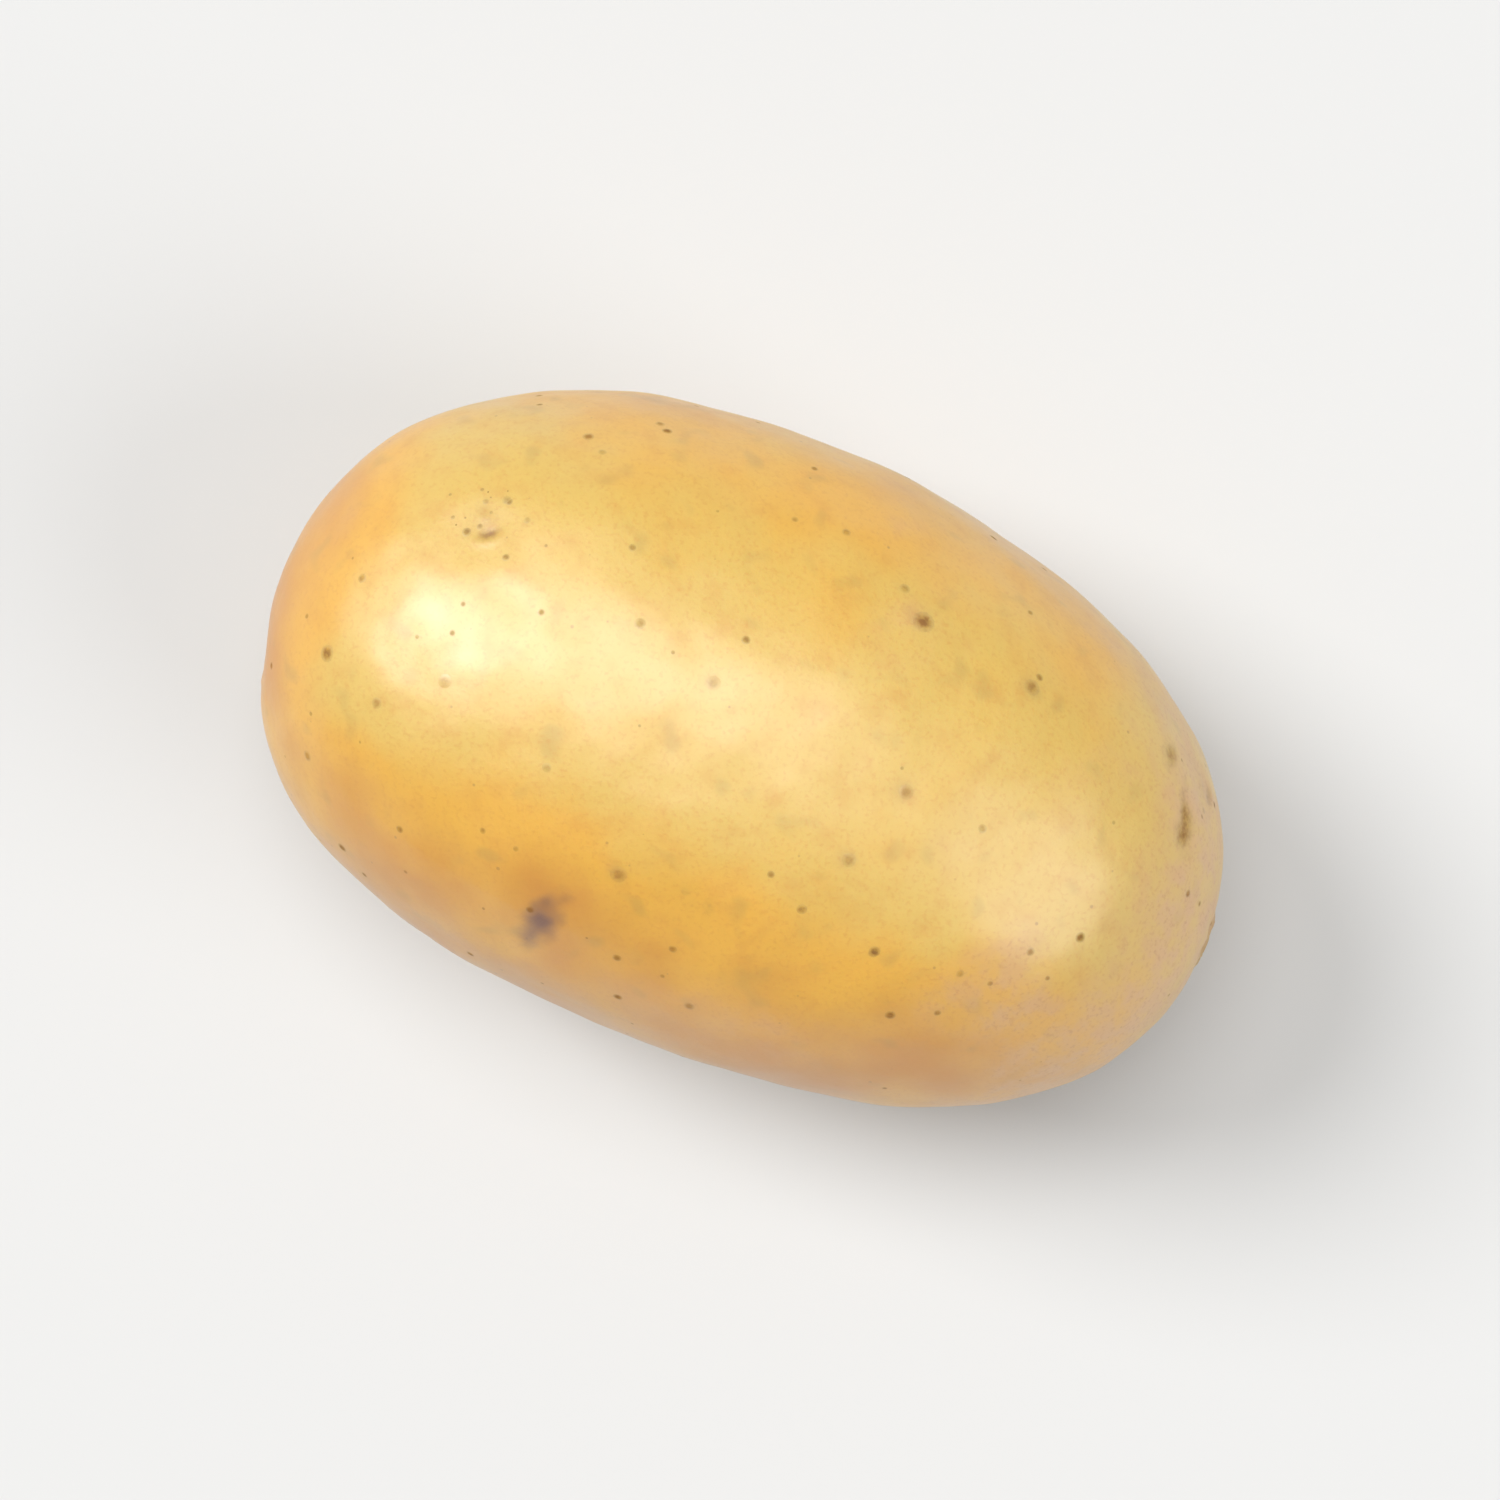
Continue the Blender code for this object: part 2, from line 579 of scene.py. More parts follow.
@dataclass
class StemScar:
    """The round corky scar where the runner broke off, a ring about a ragged pit.

    Attributes:
        patch: where it is.
        crease_count: how many shallow creases run out from it.

    The other fields are sizes and tones: of the ring, the pit in it, the corky disc that both are
    on, and the creases. The raggedness is how far noise shifts them all.
    """

    patch: Patch
    ring_radius: float = 2.1 * MM
    ring_width: float = 0.8 * MM
    ring_rise: float = 0.30 * MM
    pit_reach: float = 1.8 * MM
    pit_depth: float = 1.2 * MM
    cork_radius: float = 2.9 * MM
    raggedness: float = 0.5 * MM
    crease_count: int = 9
    crease_radius: float = 3.6 * MM
    crease_depth: float = 0.07 * MM
    disc_tone: float = 0.50
    pit_tone: float = 0.50
    crest_fade: float = 0.12
    disc_edge: tuple[float, float] = (0.7, 1.3)  # as multiples of the cork's radius

    def _distance(self, points: np.ndarray) -> np.ndarray:
        """Each point's distance from the scar's middle, made ragged."""
        ragged = self.raggedness * noise_at(points, self.ring_radius, 3)
        return np.hypot(*self.patch.spread(points)) + ragged

    def relief(self, points: np.ndarray) -> np.ndarray:
        """Works out how far the scar lifts the skin.

        Args:
            points: the skin's points, one a row.

        Returns:
            How far each point is lifted, with the pit negative.
        """
        distance = self._distance(points)
        forward, across = self.patch.spread(points)
        ring = self.ring_rise * bell(distance - self.ring_radius, self.ring_width)
        folds = np.cos(self.crease_count * np.arctan2(across, forward))
        creases = self.crease_depth * folds * bell(distance - self.crease_radius, self.ring_radius)
        return ring + creases - self.pit_depth * bell(distance, self.pit_reach)

    def cork(self, points: np.ndarray) -> np.ndarray:
        """Works out how corky the scar makes the skin.

        Args:
            points: the skin's points, one a row.

        Returns:
            How corky each point is, from 0 to 1.
        """
        distance = self._distance(points)
        disc = 1 - step(distance / self.cork_radius, *self.disc_edge)
        crest = bell(distance - self.ring_radius, self.ring_width)
        pit = self.pit_tone * bell(distance, self.pit_reach)
        return self.disc_tone * disc + pit - self.crest_fade * crest


@dataclass
class Blemish:
    """A long soft mark, such as a bruise or a healed graze.

    Attributes:
        patch: where it is.
        mask: what kind of skin it leaves.
        length: from end to end, in millimetres.
        width: from side to side, in millimetres.
        turn: how far its length is turned from the direction of the rose end, in degrees.
        depth: how far it is sunk, in millimetres.
        strength: how plain it is, from 0 to 1.
        raggedness: how uneven its edge is, as a share of its size.
        fringe: how far out its soft edge ends, as a share of its size.
    """

    patch: Patch
    mask: Mask
    length: float
    width: float
    turn: float
    depth: float
    strength: float
    raggedness: float = 0.4
    fringe: float = 1.3

    def cover(self, points: np.ndarray) -> np.ndarray:
        """Works out how much of the skin the mark covers.

        Args:
            points: the skin's points, one a row.

        Returns:
            How plainly the mark covers each point, from 0 to 1.
        """
        half_length, half_width = self.length * MM / 2, self.width * MM / 2
        lengthways, sideways = self.patch.spread(points, math.radians(self.turn))
        distance = np.hypot(lengthways / half_length, sideways / half_width)
        ragged = self.raggedness * noise_at(points, half_width, 2)
        return 1 - step(distance + ragged, 0.0, self.fringe)


@dataclass(frozen=True)
class CrownMark:
    """A fleck that shows on the crown.

    Attributes:
        x: its place along the tuber, in millimetres.
        y: its place across the tuber, in millimetres.
        radius: its radius, in millimetres.
        tone: how dark it is, from 0 to 1.
        halo: radius of the faint ring about it in millimetres, or 0 for none.
    """

    x: float
    y: float
    radius: float
    tone: float
    halo: float = 0.0


CROWN_MARKS = (
    CrownMark(9.7, 16.1, 1.17, 0.90, halo=1.3),
    CrownMark(7.1, 18.2, 0.64, 0.57),
    CrownMark(20.7, 14.5, 0.93, 0.66, halo=1.6),
    CrownMark(33.1, -4.1, 0.64, 0.90),
    CrownMark(29.4, -6.9, 0.53, 0.57),
    CrownMark(-6.4, -14.3, 0.91, 0.57, halo=1.2),
    CrownMark(-37.7, -6.4, 0.93, 0.85),
    CrownMark(-37.3, 0.9, 0.55, 0.57),
    CrownMark(-26.7, -4.6, 0.76, 0.33),
    CrownMark(-23.9, 20.2, 0.67, 0.71),
    CrownMark(-22.1, 19.3, 0.53, 0.47),
    CrownMark(-18.6, 23.9, 0.60, 0.57),
    CrownMark(-12.9, 6.4, 0.64, 0.52),
    CrownMark(-5.1, 4.1, 0.79, 0.38, halo=1.1),
    CrownMark(13.8, 1.8, 0.79, 0.47, halo=1.8),
    CrownMark(21.2, 1.4, 0.53, 0.47),
    CrownMark(11.5, -5.5, 0.76, 0.47, halo=1.4),
    CrownMark(9.4, -11.0, 0.60, 0.71),
    CrownMark(0.5, 20.9, 0.55, 0.57),
    CrownMark(-4.1, 20.2, 0.46, 0.47),
    CrownMark(-36.3, -15.6, 0.67, 0.57),
    CrownMark(-31.7, -8.7, 0.64, 0.47),
    CrownMark(-15.6, -8.1, 0.55, 0.38),
    CrownMark(16.6, -12.2, 0.53, 0.47),
    CrownMark(3.7, -23.0, 0.64, 0.57),
    CrownMark(24.4, -11.0, 0.50, 0.47),
)


# -------- the finish


class Shade(Enum):
    """The skin's colours, as sRGB hex."""

    LEMON = "#D6B254"  # the palest yellow, on the crown, where it is a painted highlight
    GOLD = "#DDA738"  # a deeper yellow, laid towards the flanks as painted shade and in random patches
    AMBER = "#C8882E"  # the deepest yellow: painted shade on the flanks and at the rose end, and random clouding and flakes
    SMUDGE = "#A8853F"  # grey-green, from a trace of light on the flesh
    DUST = "#D2A673"  # pinkish soil dust on dry skin; on the -Y flank it is partly painted shade
    FOX = "#B0723F"  # rusty flakes in the dust
    HALO = "#B98C47"
    BRUISE = "#70493A"
    STAIN = "#96692F"
    CORK = "#7E5222"


@dataclass(frozen=True)
class Grain:
    """Smooth noise of one grain.

    Attributes:
        size: the real size of its largest lumps.
        detail: how many times finer detail is added.
        sharpness: how strong each finer detail is beside the one before.
    """

    size: float
    detail: float
    sharpness: float = 0.55

    def noise(self, tree: bpy.types.NodeTree, where: Source) -> bpy.types.Node:
        """The noise in a material's tree, from 0 to 1 about a middle of 0.5."""
        look = {"Scale": 1 / self.size, "Detail": self.detail, "Roughness": self.sharpness}
        return add_node(tree, "ShaderNodeTexNoise", inputs={"Vector": where, **look})


PATCHES = Grain(13 * MM, 2)  # broad paler and deeper patches
SATIN = Grain(5.2 * MM, 3)  # shinier and duller patches
SMUDGES = Grain(3.4 * MM, 1)  # faint smudges, a few to the square centimetre
MOTTLE = Grain(2.6 * MM, 4)  # clouding just under the skin
PEEL = Grain(1.5 * MM, 2)  # soft orange-peel dimpling
SCURF = Grain(0.42 * MM, 3)  # the cork's fine flaking, drawn no finer than a render shows


@dataclass(frozen=True)
class Ramp:
    """A smooth ramp over a grain's noise.

    Attributes:
        grain: the grain.
        low: the noise at which it starts.
        high: the noise at which it ends.
        least: what it gives at its start.
        most: what it gives at its end.
    """

    grain: Grain
    low: float
    high: float
    least: float
    most: float

    def share(self, tree: bpy.types.NodeTree, where: Source) -> bpy.types.Node:
        """The ramp over its noise, in a material's tree."""
        levels = (self.grain.noise(tree, where), self.low, self.high, self.least, self.most)
        return add_node(tree, "ShaderNodeMapRange", SMOOTH, levels)


@dataclass(frozen=True)
class Specks:
    """Pin-prick specks of uneven size.

    Attributes:
        spacing: about how far apart they are.
        size: how large the largest are.
        strength: how plain they are, from 0 to 1.
        rarity: the share of places that are left bare.
        edge: where one's soft edge starts and ends, as shares of the spacing.
    """

    spacing: float = 2.1 * MM
    size: float = 0.20 * MM
    strength: float = 0.45
    rarity: float = 0.35
    edge: tuple[float, float] = (-0.02, 0.03)

    def share(self, tree: bpy.types.NodeTree, where: Source) -> bpy.types.Node:
        """Adds the specks.

        Args:
            tree: the material's tree.
            where: the point of the pattern.

        Returns:
            Their last node, which is plainest in the middle of each.
        """
        node = partial(add_node, tree, "ShaderNodeMapRange", SMOOTH)
        cells = add_node(
            tree, "ShaderNodeTexVoronoi", inputs={"Vector": where, "Scale": 1 / self.spacing}
        )
        largest = self.size / self.spacing
        size = node((cells.outputs["Color"], self.rarity, 1.0, 0.0, largest))
        distance = cells.outputs["Distance"]
        inside = add_node(tree, "ShaderNodeMath", {"operation": "SUBTRACT"}, (size, distance))
        return node((inside, *self.edge, 0.0, self.strength))


@dataclass(frozen=True)
class Tint:
    """A colour laid over the skin as strongly as its mask and all its patterns let it.

    Attributes:
        shade: the colour.
        mask: the mask that it keeps to, or None where it may be anywhere.
        patterns: the patterns that it follows.
    """

    shade: Shade
    mask: Mask | None
    patterns: tuple[Ramp | Specks, ...] = ()

    def over(self, tree: bpy.types.NodeTree, where: Source, under: Source) -> bpy.types.Node:
        """Lays the colour over what is under it.

        Args:
            tree: the material's tree.
            where: the point of the pattern.
            under: the colour that is under it.

        Returns:
            The node of the colour with this one over it.
        """
        shares = [self.mask.read(tree)] if self.mask else []
        shares += [pattern.share(tree, where) for pattern in self.patterns]
        share = shares.pop(0)
        for other in shares:
            share = add_node(tree, "ShaderNodeMath", {"operation": "MULTIPLY"}, (share, other))
        colours = {0: share, 6: under, 7: linear(self.shade.value)}
        return add_node(tree, "ShaderNodeMix", {"data_type": "RGBA"}, colours)


@dataclass(frozen=True)
class PeridermFinish:
    """Washed potato skin: thin cork over yellow flesh, dried to a satin sheen.

    The skin lets the flesh's yellow through, so it is warm and mottled and never one flat colour.

    Attributes:
        patches: how far the yellow strays in broad patches.
        levels: the yellows over the palest, each with the depths at which it starts and is full;
            that depth is painted shading, a painted highlight on the crown and painted shade on
            the flanks and rose end.
        tints: the colours laid over those, the lowest first.
        satin: how rough the skin is.
        dry_roughness: how much rougher dust and cork are.
        dimples: each grain of relief too shallow to model, and how high it stands.
        ior: of the skin itself.
        gloss: how strongly the skin itself shines.
        film: how strongly the smooth outer film shines.
        film_break: how corky the skin is where the film starts to break, and where it has gone.
        film_ior: of the film.
        film_roughness: of the film.
        flesh_glow: how much light goes through the skin.
        flesh_depth: how far it goes.
        flesh_tint: how far red, green and blue go, as shares of that.
        pattern_turn: turns the patterns out of line with the tuber.
    """

    patches: Ramp = Ramp(PATCHES, 0.3, 0.7, -0.14, 0.14)
    # painted highlight and shade: lemon on the crown, gold and amber as the painted shading
    # deepens
    levels: tuple[tuple[Shade, float, float], ...] = (
        (Shade.GOLD, 0.0, 0.5),
        (Shade.AMBER, 0.5, 1.0),
    )
    tints: tuple[Tint, ...] = (
        Tint(Shade.AMBER, None, (Ramp(MOTTLE, 0.45, 0.80, 0.0, 0.35),)),
        Tint(Shade.SMUDGE, None, (Ramp(SMUDGES, 0.60, 0.80, 0.0, 0.32),)),
        Tint(Shade.AMBER, None, (Ramp(SCURF, 0.48, 0.75, 0.0, 0.34),)),
        Tint(Shade.DUST, Mask.DUST, (Ramp(MOTTLE, 0.35, 0.65, 0.35, 1.0),)),
        Tint(
            Shade.FOX,
            Mask.DUST,
            (Ramp(MOTTLE, 0.35, 0.65, 0.35, 1.0), Ramp(SCURF, 0.50, 0.72, 0.0, 0.42)),
        ),
        Tint(Shade.HALO, Mask.HALO),
        Tint(Shade.STAIN, None, (Specks(),)),
        Tint(Shade.BRUISE, Mask.BRUISE),
        Tint(Shade.STAIN, Mask.EYE, (Ramp(SCURF, 0.3, 0.6, 0.6, 1.0),)),
        Tint(Shade.CORK, Mask.CORK, (Ramp(SCURF, 0.3, 0.6, 0.6, 1.0),)),
    )
    satin: Ramp = Ramp(SATIN, 0.35, 0.65, 0.50, 0.63)
    dry_roughness: float = 0.22
    dimples: tuple[tuple[Grain, float], ...] = ((PEEL, 0.07 * MM), (SCURF, 0.028 * MM))
    ior: float = 1.52
    gloss: float = 0.5
    film: float = 0.78
    film_break: tuple[float, float] = (0.1, 0.8)
    film_ior: float = 1.9
    film_roughness: float = 0.37
    flesh_glow: float = 0.18
    flesh_depth: float = 1.6 * MM
    flesh_tint: tuple[float, float, float] = (1.0, 0.55, 0.16)
    pattern_turn: tuple[float, float, float] = (0.5, 0.7, 0.3)

    def material(self) -> bpy.types.Material:
        """Builds the finish.

        Returns:
            The material, which reads Object coordinates and the skin's masks.
        """
        material = bpy.data.materials.new("washed_potato_periderm")
        material.use_nodes = True
        tree = material.node_tree
        tree.nodes.clear()
        place = add_node(tree, "ShaderNodeTexCoord").outputs["Object"]
        turned = {"Vector": place, "Rotation": self.pattern_turn}
        where = add_node(tree, "ShaderNodeMapping", inputs=turned)
        inputs = {
            "Base Color": self._colour(tree, where),
            "Roughness": self._roughness(tree, where),
            "Normal": self._normal(tree, where),
            "IOR": self.ior,
            "Specular IOR Level": self.gloss,
            "Coat Weight": self._film(tree),
            "Coat Roughness": self.film_roughness,
            "Coat IOR": self.film_ior,
            "Subsurface Weight": self.flesh_glow,
            "Subsurface Radius": self.flesh_tint,
            "Subsurface Scale": self.flesh_depth,
        }
        shader = add_node(tree, "ShaderNodeBsdfPrincipled", inputs=inputs)
        add_node(tree, "ShaderNodeOutputMaterial", inputs={"Surface": shader})
        return material

    def _colour(self, tree: bpy.types.NodeTree, where: Source) -> bpy.types.Node:
        """Builds up the colour: mottled yellow, paler on the crown as a painted highlight and
        deeper on the flanks and rose end as painted shade, then dust, stains, bruises and cork
        over it.

        Args:
            tree: the material's tree.
            where: the point of the pattern.

        Returns:
            The colour's node.
        """
        node = partial(add_node, tree)
        drift = self.patches.share(tree, where)
        # the painted shading, shifted by random patches
        depth = node("ShaderNodeMath", {"operation": "ADD"}, (Mask.DEPTH.read(tree), drift))
        colour = linear(Shade.LEMON.value)
        for shade, low, high in self.levels:
            share = node("ShaderNodeMapRange", SMOOTH, (depth, low, high))
            colours = {0: share, 6: colour, 7: linear(shade.value)}
            colour = node("ShaderNodeMix", {"data_type": "RGBA"}, colours)
        for tint in self.tints:
            colour = tint.over(tree, where, colour)
        return colour

    def _roughness(self, tree: bpy.types.NodeTree, where: Source) -> bpy.types.Node:
        """Makes the skin satin, duller in patches and quite dull on dust and cork.

        Args:
            tree: the material's tree.
            where: the point of the pattern.

        Returns:
            The roughness's node.
        """
        node = partial(add_node, tree, "ShaderNodeMath")
        dry = node({"operation": "ADD"}, (Mask.DUST.read(tree), Mask.CORK.read(tree)))
        satin = self.satin.share(tree, where)
        return node({"operation": "MULTIPLY_ADD"}, (dry, self.dry_roughness, satin))

    def _film(self, tree: bpy.types.NodeTree) -> bpy.types.Node:
        """The smooth outer film, which cork breaks through."""
        levels = (Mask.CORK.read(tree), *self.film_break, self.film, 0.0)
        return add_node(tree, "ShaderNodeMapRange", SMOOTH, levels)

    def _normal(self, tree: bpy.types.NodeTree, where: Source) -> bpy.types.Node:
        """Adds soft dimpling with fine scurf on it, both too shallow to model.

        Args:
            tree: the material's tree.
            where: the point of the pattern.

        Returns:
            The last bump's node.
        """
        under = {}
        for grain, height in self.dimples:
            relief = {"Strength": 1.0, "Distance": height, "Height": grain.noise(tree, where)}
            under = {"Normal": add_node(tree, "ShaderNodeBump", inputs={**relief, **under})}
        return under["Normal"]


# -------- the skin


@dataclass(frozen=True)
class Zone:
    """A broad region of the skin with a soft border.

    Attributes:
        heading: the direction from the tuber's middle in which it lies.
        start: how far out it starts, as a share of the tuber's half size.
        full: how far out it is full.
        strength: how plain it is, from 0 to 1.
        cloudiness: how far its border strays.
    """

    heading: tuple[float, float, float]
    start: float
    full: float
    strength: float = 1.0
    cloudiness: float = 0.0

    def cover(self, places: np.ndarray, cloud: np.ndarray) -> np.ndarray:
        """How plain it is at each place, told in half sizes, where the noise is this cloudy."""
        out = places @ np.array(self.heading) + self.cloudiness * cloud
        return self.strength * step(out, self.start, self.full)


@dataclass
class TuberSkin:
    """The potato's skin: its form, with all that grows on it, dressed in its finish.

    Attributes:
        form: the tuber's smooth form.
        eyes: its eyes.
        material: its finish.
        swell_grain: size of the low swells.
        swell_height: how high they stand.
        ripple_grain: size of the ripples on them.
        ripple_height: how high those stand.
        rest_fade: the heights between which all relief fades towards the resting spot.
        halo_tone: how plain the rings round lenticels are.
        zone_grain: size of the clouds that shift the zones' borders.
        crown: where fewer lenticels grow.
        dusty_end: dry skin on the stem end.
        dust_and_shade_flank: dry skin on the -Y flank, and partly painted shade there.
        dusty_belly: dry patches underneath.
        dust_underside: where the flank's dry skin has faded out.
        painted_shade_flanks: a deeper yellow on the +Y flank and on the -Y flank, as painted
            shade.
        painted_shade_low_flank: the deepest of it on the -Y flank, above the underside, also
            painted shade.
        painted_shade_rose_end: amber at the rose end, as painted shade.
        painted_shade_rose_end_above: more of it there above the underside.
        underside: where those two have faded out.
        depth_cloudiness: how far clouds shift the painted shading.
    """

    form: TuberForm
    eyes: list[Eye]
    material: bpy.types.Material
    swell_grain: float = 15 * MM
    swell_height: float = 0.38 * MM
    ripple_grain: float = 5 * MM
    ripple_height: float = 0.07 * MM
    rest_fade: tuple[float, float] = (0.02 * MM, 1.2 * MM)
    halo_tone: float = 0.4
    zone_grain: float = 13 * MM
    crown: Zone = Zone((0, 0, 1), -0.1, 0.5, 0.75)
    dusty_end: Zone = Zone((1, -0.15, 0), 0.48, 0.98, 0.9, 0.35)
    # dust on the -Y flank, partly painted shade
    dust_and_shade_flank: Zone = Zone((0.15, -1, 0), 0.70, 1.02, 0.36, 0.25)
    dusty_belly: Zone = Zone((0, 0, -0.4), 0.0, 0.9, 0.54, 1.0)
    dust_underside: Zone = Zone((0, 0, -1), 0.1, 0.6)
    # painted shade: a deeper yellow on the flanks
    painted_shade_flanks: tuple[Zone, Zone] = (
        Zone((0, 1, 0), 0.45, 0.90, 0.5),
        Zone((0, -1, 0), 0.15, 0.60, 0.5),
    )
    painted_shade_low_flank: Zone = Zone((0, -1, 0), 0.30, 0.80, 0.3)
    # painted shade: amber at the rose end
    painted_shade_rose_end: Zone = Zone((-1, 0, 0), 0.70, 1.0, 0.55)
    painted_shade_rose_end_above: Zone = Zone((-1, 0, 0), 0.70, 1.0, 0.35)
    underside: Zone = Zone((0, 0, -1), 0.0, 0.6)
    depth_cloudiness: float = 0.18

    def __post_init__(self) -> None:
        """Finds the places of its scars and blemishes."""
        self.stem_scar = StemScar(self.form.stem_end())
        knock = self.form.below(-11.0 * MM, -21.4 * MM)
        graze = self.form.below(38.8 * MM, 8.6 * MM)
        smudge = self.form.below(35.2 * MM, 13.8 * MM)
        scratch = self.form.place(0.25, math.radians(-140))
        shadow = self.form.place(-0.45, math.radians(75))
        self.blemishes = (
            Blemish(knock, Mask.BRUISE, 8.4, 3.6, turn=79, depth=0.12, strength=0.95),
            Blemish(graze, Mask.CORK, 6.4, 2.8, turn=120, depth=0.14, strength=0.78),
            Blemish(smudge, Mask.CORK, 3.2, 2.4, turn=100, depth=0.06, strength=0.55),
            Blemish(scratch, Mask.CORK, 7.0, 1.6, turn=20, depth=0.14, strength=0.5),
            Blemish(shadow, Mask.EYE, 6.5, 4.0, turn=-30, depth=0.05, strength=0.35),
        )

    def build(self) -> bpy.types.Object:
        """Builds the skin.

        Returns:
            The skin's object, with its masks as attributes.
        """
        points = self.form.points.copy()
        masks = self._masks(points)
        self.form.raise_by(self._relief(points))
        for mask, values in masks.items():
            layer = self.form.mesh.attributes.new(mask.value, "FLOAT", "POINT")
            layer.data.foreach_set("value", np.clip(values, 0, 1).astype(np.float32))
        self.form.mesh.materials.append(self.material)
        return put("potato_skin", self.form.mesh)

    def _relief(self, points: np.ndarray) -> np.ndarray:
        """Adds up all the relief, with the resting spot left as it is.

        Args:
            points: the skin's points, one a row.

        Returns:
            How far each point is lifted.
        """
        lift = self.swell_height * noise_at(points, self.swell_grain, 2)
        lift += self.ripple_height * noise_at(points, self.ripple_grain, 2)
        lift += sum(eye.relief(points) for eye in self.eyes)
        lift += self.stem_scar.relief(points)
        lift -= sum(mark.depth * MM * mark.cover(points) for mark in self.blemishes)
        return lift * step(points[:, 2], *self.rest_fade)

    def _masks(self, points: np.ndarray) -> dict[Mask, np.ndarray]:
        """Works out every mask of the skin.

        Args:
            points: the skin's points, one a row.

        Returns:
            Each mask's value at each point, by its kind.
        """
        masks = {mask: np.zeros(len(points)) for mask in Mask}
        for eye in self.eyes:
            masks[Mask.EYE] = np.maximum(masks[Mask.EYE], eye.stain(points))
        masks[Mask.CORK] = self.stem_scar.cork(points)
        for mark in self.blemishes:
            cover = mark.strength * mark.cover(points)
            masks[mark.mask] = np.maximum(masks[mark.mask], cover)
        for mark in CROWN_MARKS:
            if mark.halo:
                distance = np.hypot(*self.form.below(mark.x * MM, mark.y * MM).spread(points))
                masks[Mask.HALO] += self.halo_tone * bell(distance, mark.halo * MM)
        places = (points - self.form.middle) / self.form.half
        cloud = noise_at(points, self.zone_grain, 3)
        # dust on the -Y flank, partly painted shade
        flank = self.dust_and_shade_flank.cover(places, cloud)
        flank *= 1 - self.dust_underside.cover(places, cloud)
        dusty = [self.dusty_end.cover(places, cloud), flank, self.dusty_belly.cover(places, cloud)]
        masks[Mask.DUST] = np.maximum.reduce(dusty)
        # painted highlight on the crown, painted shade on the flanks and at the rose end
        masks[Mask.DEPTH] = self._painted_shading(points, places)
        masks[Mask.SCATTER] = 1 - self.crown.cover(places, cloud)
        return masks

    def _painted_shading(self, points: np.ndarray, places: np.ndarray) -> np.ndarray:
        """Works out the painted shading: least on the crown, a painted highlight, and most on the
        flanks and at the rose end, painted shade.

        Args:
            points: the skin's points, one a row.
            places: the same points, told in half sizes from the tuber's middle.

        Returns:
            The painted shading at each point, about from 0 to 1.
        """
        cloud = noise_at(points + self.form.half, self.zone_grain, 2)
        above = 1 - self.underside.cover(places, cloud)
        # painted shade on the flanks, deepest low on the -Y flank
        painted_shade_flanks = np.maximum(*(zone.cover(places, cloud) for zone in self.painted_shade_flanks))
        painted_shade_flanks += above * self.painted_shade_low_flank.cover(places, cloud)
        # painted shade at the rose end
        painted_shade_rose_end = self.painted_shade_rose_end.cover(places, cloud)
        painted_shade_rose_end += above * self.painted_shade_rose_end_above.cover(places, cloud)
        return np.maximum(painted_shade_flanks, painted_shade_rose_end) + self.depth_cloudiness * cloud


